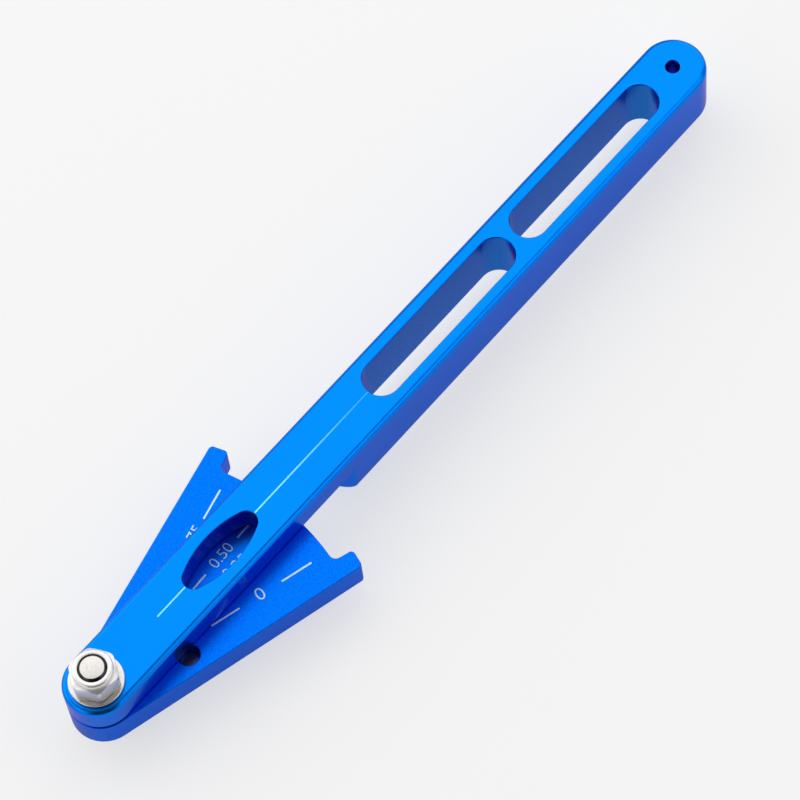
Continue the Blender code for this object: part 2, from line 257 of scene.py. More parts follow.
# Painted shade: the bolt's thread and the gap round its tip, painted almost black.
PAINTED_THREAD_SHADE = (0.05, 0.045, 0.045, 1.0)
THREAD_ROOT = 2.12 * MM
SPOT_SIZE = 0.5 * MM
STEEL_SHADE = 0.25
RING_ROUGHNESS = 0.12
RING_DEPTH = 0.0015 * MM


def turned_steel(name, axis_at, colour, dark_colour, roughness, ring_size, metal=1.0, thread=None):
    """Steel with fine turning rings about an upright axis; past the thread's root it is painted dark
    as shade.
    """
    material, tree, shader = blank_material(name, Metallic=metal)
    centred = Wire.node(tree, "ShaderNodeMapping", {"vector_type": "POINT"},
                        {"Vector": object_place(tree), "Location": tuple(-Vector(axis_at))})
    flat = Wire.node(tree, "ShaderNodeVectorMath", {"operation": "MULTIPLY"},
                     {0: centred, 1: (1.0, 1.0, 0.0)})
    radius = Wire.node(tree, "ShaderNodeVectorMath", {"operation": "LENGTH"}, {0: flat}, "Value")
    height = Wire.node(tree, "ShaderNodeSeparateXYZ", None, {0: centred}, output="Z")
    across = Wire.node(tree, "ShaderNodeCombineXYZ", None, {"X": radius, "Y": height * 0.5})
    rings = noise(tree, across, ring_size, detail=2.0)
    spots = noise(tree, centred, SPOT_SIZE, detail=3.0)
    shade = (ramp(rings, 0.3, 0.75) + ramp(spots, 0.35, 0.75)) * STEEL_SHADE
    finish = blend_colours(shade, colour, dark_colour)
    # Painted shade: past the thread's root and above the plate's foot, the bolt is painted almost
    # black for the shadow in its thread.
    if thread:
        root, start = thread
        thread_shade_mask = ramp(radius, root, root + 0.05 * MM) * ramp(height, start, start + 0.1 * MM)
        finish = blend_colours(thread_shade_mask, finish, PAINTED_THREAD_SHADE)
    feed(shader, "Base Color", finish)
    feed(shader, "Roughness", rings * RING_ROUGHNESS + (roughness - RING_ROUGHNESS / 2))
    bump(shader, rings + spots * 0.5, RING_DEPTH)
    return material


washer_steel = turned_steel("stamped_stainless", pivot, BRIGHT, SHADED, 0.22, 0.18 * MM)
nut_steel = turned_steel("turned_stainless", pivot, NUT_BRIGHT, NUT_SHADED, 0.3, 0.18 * MM,
                         metal=0.75)
# The bolt's tip gets painted thread shade past the thread's root.
bolt_steel = turned_steel("turned_bolt_stainless", pivot, BRIGHT, SHADED, 0.26, 0.14 * MM,
                          thread=(THREAD_ROOT, plate_low.z))
print("steel:", washer_steel.name, nut_steel.name, bolt_steel.name)

# %% Laser marks and nylon
MARK_WHITE = (0.72, 0.94, 1.0, 1.0)
MARK_GREY = (0.60, 0.85, 0.98, 1.0)
INDEX_LIGHT = (0.30, 0.93, 1.0, 1.0)
INDEX_DARK = (0.24, 0.86, 0.98, 1.0)
INDEX_FADED = (0.02, 0.40, 1.0, 1.0)
FADE_FROM = 45 * MM
FADE_TO = 72 * MM
NYLON_LIGHT = (0.035, 0.03, 0.03, 1.0)
NYLON_DARK = (0.015, 0.013, 0.013, 1.0)


def speckled(name, light, dark, grain_size, roughness, depth, metal=0.0, fade=None):
    """A dull, speckled surface, such as a mark or nylon; a fade is a colour and two places along X."""
    material, tree, shader = blank_material(name, Roughness=roughness, Metallic=metal)
    place = object_place(tree)
    grain = noise(tree, place, grain_size, detail=3.0)
    finish = blend_colours(ramp(grain, 0.3, 0.7), light, dark)
    if fade:
        faded, start, end = fade
        along = Wire.node(tree, "ShaderNodeSeparateXYZ", None, {0: place}, output="X")
        finish = blend_colours(ramp(along, start, end), finish, faded)
    feed(shader, "Base Color", finish)
    bump(shader, grain, depth)
    return material


mark_white = speckled("laser_mark_white", MARK_WHITE, MARK_GREY,
                      0.08 * MM, 0.4, 0.002 * MM, metal=0.5)
index_cyan = speckled("laser_mark_index", INDEX_LIGHT, INDEX_DARK,
                      0.08 * MM, 0.4, 0.002 * MM, metal=0.5,
                      fade=(INDEX_FADED, pivot.x + FADE_FROM, pivot.x + FADE_TO))
nylon = speckled("dark_nylon", NYLON_LIGHT, NYLON_DARK, 0.15 * MM, 0.5, 0.004 * MM)
print("marks and nylon:", mark_white.name, index_cyan.name, nylon.name)

# %% [markdown]
# ## Outlines, solids and openings
# The bar and the plate are flat parts: an outline, raised to a thickness. Each outline is a chain of
# arcs, made by spinning one vertex about the arc's centre, with straight edges between them. An
# opening is cut by a plug of the same outline, whose ends flare, so the cut leaves a softly rounded
# rim. The flares' last step leans only 15 degrees, which brings the rim almost level with the face.

# %% Outline from arcs
MERGE_DISTANCE = 0.001 * MM


def close_loop(bm, arcs, z, wider=0.0):
    """Adds a closed chain of arcs (x, y, radius, start, end, steps) and returns its edges."""
    first = last = None
    edges = []
    for x, y, radius, start, end, steps in arcs:
        grown = radius + (wider if end > start else -wider)
        angle = math.radians(start)
        vert = bm.verts.new((x + grown * math.cos(angle), y + grown * math.sin(angle), z))
        known = set(bm.edges)
        swept = bmesh.ops.spin(bm, geom=[vert], cent=(x, y, z), axis=(0.0, 0.0, 1.0),
                               angle=math.radians(end - start), steps=steps)
        edges += [edge for edge in bm.edges if edge not in known]
        if last:
            edges.append(bm.edges.new((last, vert)))
        first = first or vert
        last = next(v for v in swept["geom_last"] if isinstance(v, bmesh.types.BMVert))
    edges.append(bm.edges.new((last, first)))
    return edges


def loft(levels, arcs):
    """Closed solid through this outline at (wider, z) levels."""
    bm = bmesh.new()
    loops = [close_loop(bm, arcs, z, wider) for wider, z in levels]
    for lower, upper in zip(loops, loops[1:]):
        bmesh.ops.bridge_loops(bm, edges=lower + upper)
    for end in (loops[0], loops[-1]):
        bmesh.ops.contextual_create(bm, geom=end)
    bmesh.ops.remove_doubles(bm, verts=bm.verts, dist=MERGE_DISTANCE)
    bmesh.ops.recalc_face_normals(bm, faces=bm.faces)
    return bm


# %% Plug for an opening
RIM_ROUND = 0.2 * MM
CUT_BEYOND = 0.2 * MM


def plug(arcs, bottom, top):
    """Cutter for an opening with rounded rims at these two levels."""
    turns = [math.radians(angle) for angle in (0, 30, 60, 90)]
    flare = [(RIM_ROUND * (1 - math.cos(a)), RIM_ROUND * (1 - math.sin(a))) for a in turns]
    last_lean = (flare[3][0] - flare[2][0]) / (flare[2][1] - flare[3][1])
    flare[3] = (flare[3][0] + CUT_BEYOND * last_lean, -CUT_BEYOND)
    levels = [(wider, bottom + inside) for wider, inside in reversed(flare)]
    levels += [(wider, top - inside) for wider, inside in flare]
    return loft(levels, arcs)

# %% [markdown]
# ## From bmesh to a finished piece
# A Boolean modifier makes each cut, and its result is kept as a plain mesh. Where two cuts meet, they
# can leave corners that lie almost on top of each other and catch the light as thin lines, so such
# corners are welded. A finished piece is shaded smooth, except across its sharp edges, and a
# weighted normal keeps its flat faces flat beside their rounded rims. It then takes the place of a
# node of the construction model, and rides on its body.

# %% Cut a piece
WELD_DISTANCE = 0.005 * MM


def as_object(name, bm):
    mesh = bpy.data.meshes.new(name)
    bm.to_mesh(mesh)
    bm.free()
    piece = bpy.data.objects.new(name, mesh)
    scene.collection.objects.link(piece)
    return piece


def carve(piece, cutters, operation="DIFFERENCE"):
    """Cuts the piece by each cutter and keeps only the result."""
    tools = [as_object("cutter", bm) for bm in cutters]
    for tool in tools:
        modifier = piece.modifiers.new("cut", "BOOLEAN")
        modifier.operation = operation
        modifier.solver = "EXACT"
        modifier.object = tool
    depsgraph = bpy.context.evaluated_depsgraph_get()
    carved = bpy.data.meshes.new_from_object(piece.evaluated_get(depsgraph))
    piece.modifiers.clear()
    piece.data = carved
    for tool in tools:
        bpy.data.objects.remove(tool)
    return piece


def weld(piece):
    """Merges the corners that meeting cuts leave almost on top of each other."""
    bm = bmesh.new()
    bm.from_mesh(piece.data)
    before = len(bm.verts)
    bmesh.ops.remove_doubles(bm, verts=bm.verts, dist=WELD_DISTANCE)
    bmesh.ops.dissolve_degenerate(bm, edges=bm.edges, dist=MERGE_DISTANCE)
    print(f"{piece.name}: {before - len(bm.verts)} corners merged")
    bm.to_mesh(piece.data)
    bm.free()


def shift(bm, offset):
    bmesh.ops.translate(bm, verts=bm.verts, vec=offset)
    return bm


# %% Finish a piece
def finish_piece(piece, material, body, node, sharp=40.0):
    """Smooths the piece, gives it its finish, and puts it in the place of a node."""
    mesh = piece.data
    mesh.validate()
    mesh.materials.clear()
    mesh.materials.append(material)
    mesh.shade_smooth()
    mesh.set_sharp_from_angle(angle=math.radians(sharp))
    weighted = piece.modifiers.new("even flats", "WEIGHTED_NORMAL")
    weighted.mode = "FACE_AREA"
    weighted.weight = 80
    weighted.keep_sharp = True
    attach(piece, body)
    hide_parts(node)
    print(f"{piece.name}: {len(mesh.vertices)} vertices, {len(mesh.polygons)} faces")

# %% [markdown]
# ## The handle bar
# The real bar is milled from one length of flat stock: round ends, long slots to save weight, a window
# to read the scale through, and a pocket underneath that makes room for the plate. The solid is the
# raised outline with its long edges rounded by a bevel of eight steps, and each cut is a plug. The
# pocket ends in a round front, so that its cutter is a wide block with a hollow end. A ring that ends
# at the same front rounds the lower edge of the thin part.

# %% Bar sizes
BAR_FILLET = 1.0 * MM
SLOT_RADIUS = 3.65 * MM
SLOTS_START = 71.9 * MM
SLOTS_END = 151.8 * MM
SLOT_WEB = 2.1 * MM
WINDOW_AT = 32.1 * MM
WINDOW_HALF_LENGTH = 9.0 * MM
WINDOW_HALF_WIDTH = 3.5 * MM
WINDOW_END_RADIUS = 2.1 * MM
STEP_FRONT = 57.5 * MM
STEP_RADIUS = 8.0 * MM
PIN_HOLE_RADIUS = 1.35 * MM
THIN_EDGE = 0.5 * MM
END_STEPS = 48
print(f"slots {(SLOTS_END - SLOTS_START - SLOT_WEB) / 2 / MM:.1f} mm long,"
      f" window {WINDOW_HALF_LENGTH * 2 / MM:.0f} by {WINDOW_HALF_WIDTH * 2 / MM:.0f} mm")


# %% Arcs of the bar and its openings
def stadium(start, end, radius):
    """Arcs of a slot or bar with round ends about these two centres."""
    return [(end, 0.0, radius, -90, 90, END_STEPS), (start, 0.0, radius, 90, 270, END_STEPS)]


def ring(x, y, radius, steps=64):
    """Arcs of a full circle."""
    return [(x, y, radius, 0, 180, steps // 2), (x, y, radius, 180, 360, steps // 2)]


def oval(middle, half_length, half_width, end_radius):
    """Arcs of an oval: long side arcs that run smoothly into small end arcs."""
    end = half_length - end_radius
    side_radius = (end ** 2 + half_width ** 2 - end_radius ** 2) / (2 * (half_width - end_radius))
    drop = side_radius - half_width
    meet = math.degrees(math.atan2(drop, end))
    return [(middle + end, 0.0, end_radius, -meet, meet, 20),
            (middle, -drop, side_radius, meet, 180 - meet, 28),
            (middle - end, 0.0, end_radius, 180 - meet, 180 + meet, 20),
            (middle, drop, side_radius, 180 + meet, 360 - meet, 28)]


# %% Raise an outline to a flat part
TOLERANCE = 0.01 * MM


def raised(arcs, bottom, top, lower_edge, upper_edge, edge_steps):
    """A flat part of this outline whose lower and upper edges are rounded to these radii."""
    bm = bmesh.new()
    bmesh.ops.contextual_create(bm, geom=close_loop(bm, arcs, bottom))
    grown = bmesh.ops.extrude_face_region(bm, geom=list(bm.faces))
    lifted = [item for item in grown["geom"] if isinstance(item, bmesh.types.BMVert)]
    bmesh.ops.translate(bm, verts=lifted, vec=(0.0, 0.0, top - bottom))
    bmesh.ops.remove_doubles(bm, verts=bm.verts, dist=MERGE_DISTANCE)
    bmesh.ops.recalc_face_normals(bm, faces=bm.faces)
    for level, edge in ((bottom, lower_edge), (top, upper_edge)):
        rim = [e for e in bm.edges if all(abs(v.co.z - level) < TOLERANCE for v in e.verts)]
        bmesh.ops.bevel(bm, geom=rim, offset=edge, offset_type="OFFSET", segments=edge_steps,
                        profile=0.5, affect="EDGES", clamp_overlap=False, material=-1)
    return bm


# %% [markdown]
# The pocket's cutter runs past the nose and both sides of the bar, so that nothing is left standing
# there. The cutter for the lower edge is a ring: a wide slab, less a solid of the bar's own outline
# whose foot is rounded inwards. Its wall leans out a little as it leaves the bar, as a plug's does,
# because two surfaces that only touch can't be cut cleanly.

# %% Cutters for the pocket and the lower edge
POCKET_REACH = 1.1
POCKET_BEYOND = 2.0


def pocket_block(bottom, top):
    """Block before the thick part's round front, between two heights."""
    lean = math.degrees(math.asin(bar_half * POCKET_REACH / STEP_RADIUS))
    corner = bar_half * POCKET_BEYOND
    arcs = [(STEP_FRONT + STEP_RADIUS, 0.0, STEP_RADIUS, 180 + lean, 180 - lean, 32),
            (-corner, corner, bar_half, 90, 91, 1),
            (-corner, -corner, bar_half, 269, 270, 1)]
    return loft([(0.0, bottom), (0.0, top)], arcs)


def thin_edge_cutter():
    """Ring that rounds the thin part's lower outer edge, and ends at the thick part's front."""
    outline = stadium(0.0, bar_reach, bar_half)
    turns = [math.radians(angle) for angle in range(0, 91, 15)]
    hollow = [(-THIN_EDGE * (1 - math.sin(a)), thin_bottom + THIN_EDGE * (1 - math.cos(a)))
              for a in turns]
    wall = hollow.pop()
    lean = (wall[0] - hollow[-1][0]) / (wall[1] - hollow[-1][1])
    hollow = [(-THIN_EDGE, thin_bottom - MM), *hollow, (CUT_BEYOND * lean, wall[1] + CUT_BEYOND)]
    slab = loft([(MM, thin_bottom - MM / 2), (MM, wall[1] + CUT_BEYOND / 2)], outline)
    ring_piece = carve(as_object("cutter", slab), [loft(hollow, outline)])
    carve(ring_piece, [pocket_block(thin_bottom - MM, bar_high.z)], "INTERSECT")
    bm = bmesh.new()
    bm.from_mesh(ring_piece.data)
    bpy.data.objects.remove(ring_piece)
    return bm


# %% Mill the bar
slot_span = (SLOTS_END - SLOTS_START - SLOT_WEB) / 2
slot_starts = (SLOTS_START, SLOTS_START + slot_span + SLOT_WEB)
bar_cutters = [pocket_block(bar_low.z - MM, thin_bottom), thin_edge_cutter()]
for start in slot_starts:
    slot_arcs = stadium(start + SLOT_RADIUS, start + slot_span - SLOT_RADIUS, SLOT_RADIUS)
    bar_cutters.append(plug(slot_arcs, bar_low.z, bar_high.z))
window_arcs = oval(WINDOW_AT, WINDOW_HALF_LENGTH, WINDOW_HALF_WIDTH, WINDOW_END_RADIUS)
bar_cutters.append(plug(window_arcs, thin_bottom, bar_high.z))
bar_cutters.append(plug(ring(0.0, 0.0, BORE_RADIUS), thin_bottom, bar_high.z))
bar_cutters.append(plug(ring(bar_reach, 0.0, PIN_HOLE_RADIUS, 40), bar_low.z, bar_high.z))
for cutter in bar_cutters:
    shift(cutter, pivot)

bar_body = raised(stadium(0.0, bar_reach, bar_half), bar_low.z, bar_high.z,
                  BAR_FILLET, BAR_FILLET, 8)
bar = carve(as_object("milled_bar", shift(bar_body, pivot)), bar_cutters)
weld(bar)
finish_piece(bar, bar_blue, "bar", "handle_bar")

# %% [markdown]
# The walls of the slots and the window are one mesh with the bar, but they have materials of their
# own, with a coarser grain, a rougher shine and a darker, greyer dye that is painted shade: their
# upright faces are found by where they are, and pointed at another material.

# %% Painted shade on the walls of the slots and the window
UPRIGHT = 0.1


def paint_shade_on_walls(start, end, half_width, material):
    """Gives this material, whose darker dye is painted shade, to the upright faces of the bar's
    openings between two places.
    """
    bar.data.materials.append(material)
    walls = 0
    for face in bar.data.polygons:
        along = face.center.x - pivot.x
        inside = start < along < end and abs(face.center.y) < half_width + TOLERANCE
        if inside and abs(face.normal.z) < UPRIGHT:
            face.material_index = len(bar.data.materials) - 1
            walls += 1
    print(f"{material.name}: {walls} faces")


# Painted shade: the walls of the slots and the window take the darker dyes.
paint_shade_on_walls(SLOTS_START, SLOTS_END, SLOT_RADIUS, slot_wall_painted_shade)
paint_shade_on_walls(WINDOW_AT - WINDOW_HALF_LENGTH, WINDOW_AT + WINDOW_HALF_LENGTH, WINDOW_HALF_WIDTH,
             window_wall_painted_shade)

# %% [markdown]
# ## The scale plate
# The plate is a fan about the pivot. Its finger arc has the pivot for its centre, two horns give the
# thumb a hold, and its edges are tangent to the round nose. All its corners are arcs of their own, so
# the same chain of arcs serves again. It stands one degree off the bar's middle line.

# %% Plate sizes
PLATE_TURN = -1.0
PLATE_EDGE = 0.15 * MM
PLATE_FOOT_EDGE = 0.2 * MM
HALF_ANGLE = 14.0
ARC_RADIUS = 47.2 * MM
HORN_RADIUS = 51.2 * MM
HORN_WIDTH = 3.6 * MM
HORN_FILLET = 1.3 * MM
HORN_CORNER = 0.8 * MM
SWING_PIN_AT = 16.7 * MM
SWING_PIN_ANGLE = -22.4
PLATE_HOLE_RADIUS = 2.05 * MM
print(f"plate {HALF_ANGLE * 2:.0f} degrees wide, finger arc {ARC_RADIUS / MM:.1f} mm from the pivot")


# %% The plate's outline
def polar(radius, angle):
    turn = math.radians(angle)
    return Vector((radius * math.cos(turn), radius * math.sin(turn), 0.0))


def corner_arc(before, corner, after, radius):
    """The arc (x, y, radius, start, end, steps) that rounds a corner between straight lines."""
    back = (before - corner).normalized()
    onward = (after - corner).normalized()
    half = back.angle(onward) / 2
    centre = corner + (back + onward).normalized() * (radius / math.sin(half))
    first = corner + back * (radius / math.tan(half)) - centre
    last = corner + onward * (radius / math.tan(half)) - centre
    start = math.degrees(math.atan2(first.y, first.x))
    swing = math.degrees(first.angle(last))
    return (centre.x, centre.y, radius, start, start + swing, 8)


def plate_arcs():
    """The plate's outline, from the middle of the finger arc round the nose and back."""
    nose_end = polar(bar_half, HALF_ANGLE + 90)
    outer = nose_end + polar(math.sqrt(HORN_RADIUS ** 2 - bar_half ** 2), HALF_ANGLE)
    flank = math.degrees(math.atan2(outer.y, outer.x) - HORN_WIDTH / HORN_RADIUS)
    inner = polar(HORN_RADIUS, flank)
    foot_radius = ARC_RADIUS + HORN_FILLET
    swing = math.degrees(math.asin(HORN_FILLET / foot_radius))
    foot = polar(foot_radius, flank - swing)
    upper = [
        (foot.x, foot.y, HORN_FILLET, flank - swing + 180, flank + 90, 8),
        corner_arc(polar(ARC_RADIUS, flank), inner, outer, HORN_CORNER),
        corner_arc(inner, outer, nose_end, HORN_CORNER),
    ]
    nose = (0.0, 0.0, bar_half, HALF_ANGLE + 90, 270 - HALF_ANGLE, 48)
    lower = [(x, -y, r, -end, -start, steps) for x, y, r, start, end, steps in reversed(upper)]
    arc_end = flank - swing
    finger = (0.0, 0.0, ARC_RADIUS, -arc_end, arc_end, 48)
    return [*upper, nose, *lower, finger]


# %% Cut the plate
def place_on_plate(bm):
    """Turns what was made along the bar's line to how the plate stands, about the pivot."""
    turn = Matrix.Rotation(math.radians(PLATE_TURN), 3, "Z")
    bmesh.ops.rotate(bm, verts=bm.verts, cent=(0.0, 0.0, 0.0), matrix=turn)
    return shift(bm, pivot)


hole = polar(SWING_PIN_AT, SWING_PIN_ANGLE)
plate_cutters = [
    plug(ring(0.0, 0.0, BORE_RADIUS), plate_low.z, plate_high.z),
    plug(ring(hole.x, hole.y, PLATE_HOLE_RADIUS, 48), plate_low.z, plate_high.z),
]
plate_body = raised(plate_arcs(), plate_low.z, plate_high.z, PLATE_FOOT_EDGE, PLATE_EDGE, 4)
plate = carve(as_object("fan_plate", place_on_plate(plate_body)),
              [place_on_plate(cutter) for cutter in plate_cutters])
finish_piece(plate, plate_blue, "plate", "scale_plate")

# %% [markdown]
# ## Washers, nut and locking ring
# Round parts are turned on a lathe, and a full spin does the same: a profile of radius and height runs
# round the bolt's axis. The lock nut is turned first, with its chamfers and its rounded collar, and
# then six planes shave off its flats. Its blank is a little smaller than a sharp hexagon needs, which
# blunts the six corners. Where a flat meets the chamfer it leaves the curved line that every hexagon
# nut shows, and nothing of it is drawn by hand.

# %% A lathe for round parts
def spun(profile, steps=96):
    """Turns a profile of (radius, height) about the Z axis; one off the axis is closed first."""
    bm = bmesh.new()
    verts = [bm.verts.new((radius, 0.0, height)) for radius, height in profile]
    edges = [bm.edges.new(pair) for pair in zip(verts, verts[1:])]
    if profile[0][0] > 0.0:
        edges.append(bm.edges.new((verts[-1], verts[0])))
    bmesh.ops.spin(bm, geom=verts + edges, cent=(0.0, 0.0, 0.0), axis=(0.0, 0.0, 1.0),
                   angle=math.tau, steps=steps, use_merge=True)
    bmesh.ops.remove_doubles(bm, verts=bm.verts, dist=MERGE_DISTANCE)
    bmesh.ops.recalc_face_normals(bm, faces=bm.faces)
    return bm


def bend(radius, height, size, start, end, steps=6):
    """Profile points on a small arc about (radius, height); angles in degrees."""
    turns = [math.radians(start + (end - start) * i / steps) for i in range(steps + 1)]
    return [(radius + size * math.cos(turn), height + size * math.sin(turn)) for turn in turns]


# %% Stamp the washers
WASHER_RIM = 5.0 * MM
UPPER_WASHER_THICK = 0.6 * MM
LOWER_WASHER_THICK = 1.0 * MM
WASHER_EDGE = 0.2 * MM
SEAT_GAP = 0.2 * MM
HEAD_HEIGHT = 2.75 * MM


def washer(name, node, bottom, thickness):
    top = bottom + thickness
    inner = BORE_RADIUS + WASHER_EDGE / 2
    outer = WASHER_RIM - WASHER_EDGE
    profile = (bend(inner, bottom + WASHER_EDGE / 2, WASHER_EDGE / 2, 180, 270, 3)
               + bend(outer, bottom + WASHER_EDGE, WASHER_EDGE, -90, 0, 4)
               + bend(outer, top - WASHER_EDGE, WASHER_EDGE, 0, 90, 4)
               + bend(inner, top - WASHER_EDGE / 2, WASHER_EDGE / 2, 90, 180, 3))
    made = as_object(name, shift(spun(profile), pivot))
    finish_piece(made, washer_steel, "bar", node)


washer_bottom = bar_high.z + SEAT_GAP
washer("upper_washer", "top_washer", washer_bottom, UPPER_WASHER_THICK)
washer("lower_washer", "bottom_washer", HEAD_HEIGHT + SEAT_GAP, LOWER_WASHER_THICK)

# %% Nut sizes
NUT_FLAT = 4.0 * MM
NUT_CORNER = 4.42 * MM
NUT_HEIGHT = 5.0 * MM
NUT_TURN = -5.0
COLLAR_RADIUS = 3.65 * MM
COLLAR_HEIGHT = 1.1 * MM
COLLAR_LIP = 0.45 * MM
COLLAR_FOOT = 0.12 * MM
COLLAR_MOUTH = 0.15 * MM
NUT_FOOT = 0.1 * MM
GROOVE_RADIUS = 3.25 * MM
RING_BELOW_TOP = 0.45 * MM
RING_HEIGHT = 1.3 * MM
RING_PLAY = 0.05 * MM
RING_CHAMFER = 0.1 * MM
CHAMFER_SLOPE = math.tan(math.radians(30))
nut_bottom = washer_bottom + UPPER_WASHER_THICK + SEAT_GAP
nut_top = nut_bottom + NUT_HEIGHT
ring_top = nut_top - RING_BELOW_TOP
ring_bottom = ring_top - RING_HEIGHT
print(f"nut from {nut_bottom / MM:.2f} to {nut_top / MM:.2f} mm high")


# %% Turn the nut and shave its flats
def nut_profile():
    """From the thread at the bottom round the outside, over the collar and into the groove."""
    shoulder = nut_top - COLLAR_HEIGHT
    foot = COLLAR_RADIUS + COLLAR_FOOT
    edge_height = shoulder - (NUT_CORNER - foot) * CHAMFER_SLOPE
    lip = nut_top - COLLAR_LIP
    return [
        (BORE_RADIUS, nut_bottom),
        (NUT_FLAT - NUT_FOOT, nut_bottom),
        (NUT_CORNER, nut_bottom + (NUT_CORNER - NUT_FLAT + NUT_FOOT) * CHAMFER_SLOPE),
        (NUT_CORNER, edge_height),
        *bend(foot, shoulder + COLLAR_FOOT, COLLAR_FOOT, 300, 180, 5),
        *bend(COLLAR_RADIUS - COLLAR_LIP, lip, COLLAR_LIP, 0, 90, 7),
        *bend(BORE_RADIUS + COLLAR_MOUTH, nut_top - COLLAR_MOUTH, COLLAR_MOUTH, 90, 180, 3),
        (BORE_RADIUS, ring_top + RING_PLAY),
        (GROOVE_RADIUS, ring_top + RING_PLAY),
        (GROOVE_RADIUS, ring_bottom - RING_PLAY),
        (BORE_RADIUS, ring_bottom - RING_PLAY),
    ]


nut_mesh = spun(nut_profile())
for side in range(6):
    outwards = polar(1.0, NUT_TURN + 30 + 60 * side)
    whole = [*nut_mesh.verts, *nut_mesh.edges, *nut_mesh.faces]
    halves = bmesh.ops.bisect_plane(nut_mesh, geom=whole, plane_co=outwards * NUT_FLAT,
                                    plane_no=outwards, clear_outer=True)
    rim = [item for item in halves["geom_cut"] if isinstance(item, bmesh.types.BMEdge)]
    bmesh.ops.edgeloop_fill(nut_mesh, edges=rim)
bmesh.ops.recalc_face_normals(nut_mesh, faces=nut_mesh.faces)
nut = as_object("hexagon_lock_nut", shift(nut_mesh, pivot))
finish_piece(nut, nut_steel, "bar", "lock_nut", sharp=25.0)

# %% The nylon ring in the nut's groove
ring_outer = GROOVE_RADIUS - RING_PLAY
ring_profile = [(BORE_RADIUS, ring_bottom), (ring_outer, ring_bottom),
                (ring_outer, ring_top - RING_CHAMFER), (ring_outer - RING_CHAMFER, ring_top),
                (BORE_RADIUS + RING_CHAMFER, ring_top), (BORE_RADIUS, ring_top - RING_CHAMFER)]
locking_ring = as_object("nylon_locking_ring", shift(spun(ring_profile), pivot))
finish_piece(locking_ring, nylon, "bar", "nut_insert")

# %% [markdown]
# ## Bolt and measuring pins
# The bolt comes up from below, so only its tip is seen from above and its low round head from below.
# The head is a quarter of an ellipse in profile, and its hexagon socket is cut by a six-sided prism.
# Both pins are plain ground steel: the fixed one has a thinner neck that sits in the bar's hole.

# %% Bolt sizes
SHANK_RADIUS = 2.5 * MM
HEAD_RADIUS = 4.7 * MM
HEAD_SIDE = 0.7 * MM
HEAD_LAND = 2.1 * MM
HEAD_EDGE = 0.1 * MM
TIP_ABOVE_NUT = 0.3 * MM
TIP_CHAMFER = 0.38 * MM
TIP_ROUND = 0.05 * MM
SOCKET_FLAT = 1.5 * MM
SOCKET_CORNER = SOCKET_FLAT / math.cos(math.radians(30))
SOCKET_DEPTH = 1.6 * MM
bolt_tip = nut_top + TIP_ABOVE_NUT
print(f"bolt {bolt_tip / MM:.2f} mm long, head and all")


# %% Turn the bolt
def head_curve(steps=14):
    """Profile of the domed head, from its flat middle out to its side."""
    rise = HEAD_HEIGHT - HEAD_SIDE
    reach = HEAD_RADIUS - HEAD_LAND
    turns = [math.pi / 2 * i / steps for i in range(steps + 1)]
    return [(HEAD_LAND + reach * math.sin(turn), rise * (1 - math.cos(turn))) for turn in turns]


bolt_profile = [
    (0.0, 0.0), *head_curve(), (HEAD_RADIUS, HEAD_HEIGHT - HEAD_EDGE),
    (HEAD_RADIUS - HEAD_EDGE, HEAD_HEIGHT), (SHANK_RADIUS, HEAD_HEIGHT),
    (SHANK_RADIUS, bolt_tip - TIP_CHAMFER),
    *bend(SHANK_RADIUS - TIP_CHAMFER - TIP_ROUND, bolt_tip - TIP_ROUND, TIP_ROUND, 45, 90, 3),
    (0.0, bolt_tip),
]
socket = bmesh.new()
bmesh.ops.create_cone(socket, cap_ends=True, segments=6, depth=SOCKET_DEPTH * 2,
                      radius1=SOCKET_CORNER, radius2=SOCKET_CORNER)
bolt = carve(as_object("button_head_bolt", shift(spun(bolt_profile), pivot)),
             [shift(socket, pivot)])
weld(bolt)
finish_piece(bolt, bolt_steel, "bar", "pivot_bolt", sharp=30.0)

# %% Grind the two measuring pins
GROUND = (0.55, 0.54, 0.53, 1.0)
GROUND_DARK = (0.33, 0.32, 0.31, 1.0)
PIN_RADIUS = 2.0 * MM
PIN_CHAMFER = 0.3 * MM
SPIGOT_RADIUS = 1.3 * MM
FIXED_PIN_RECESS = 6.0 * MM
SWING_PIN_RECESS = 3.0 * MM


def pin(name, node, body, place, upper_part, radius, top):
    """A ground pin whose tip is at z = 0, with this upper part below its chamfered top."""
    profile = [(0.0, 0.0), (PIN_RADIUS - PIN_CHAMFER, 0.0), (PIN_RADIUS, PIN_CHAMFER),
               *upper_part, (radius, top - PIN_CHAMFER), (radius - PIN_CHAMFER, top), (0.0, top)]
    steel = turned_steel(name + "_steel", place, GROUND, GROUND_DARK, 0.25, 0.1 * MM)
    made = as_object(name, shift(spun(profile, 64), place))
    finish_piece(made, steel, body, node, sharp=30.0)


shoulder = bar_low.z - SEAT_GAP
pin("fixed_measuring_pin", "fixed_pin", "bar", Vector((0.0, 0.0, 0.0)),
    [(PIN_RADIUS, shoulder), (SPIGOT_RADIUS, shoulder)],
    SPIGOT_RADIUS, bar_high.z - FIXED_PIN_RECESS)
pin("swinging_measuring_pin", "swing_pin", "plate",
    pivot + polar(SWING_PIN_AT, SWING_PIN_ANGLE + PLATE_TURN),
    [], PIN_RADIUS, plate_high.z - SWING_PIN_RECESS)

# %% [markdown]
# ## The scale and the index line
# The scale's lines point at the pivot, and each label is read outwards along its line. On the real
# gauge a laser burns them, so they have hardly any height. Here they are thin shapes that stand a
# hundredth of a millimetre proud: real geometry prints, exports and casts no stray shadow. Digits come
# from Blender's own font, made a mesh, scaled to the size that the photograph shows, and then placed.

# %% Strokes
MARK_PROUD = 0.012 * MM
MARK_SUNK = 0.02 * MM
STROKE = 0.33 * MM
INDEX_STROKE = 0.28 * MM


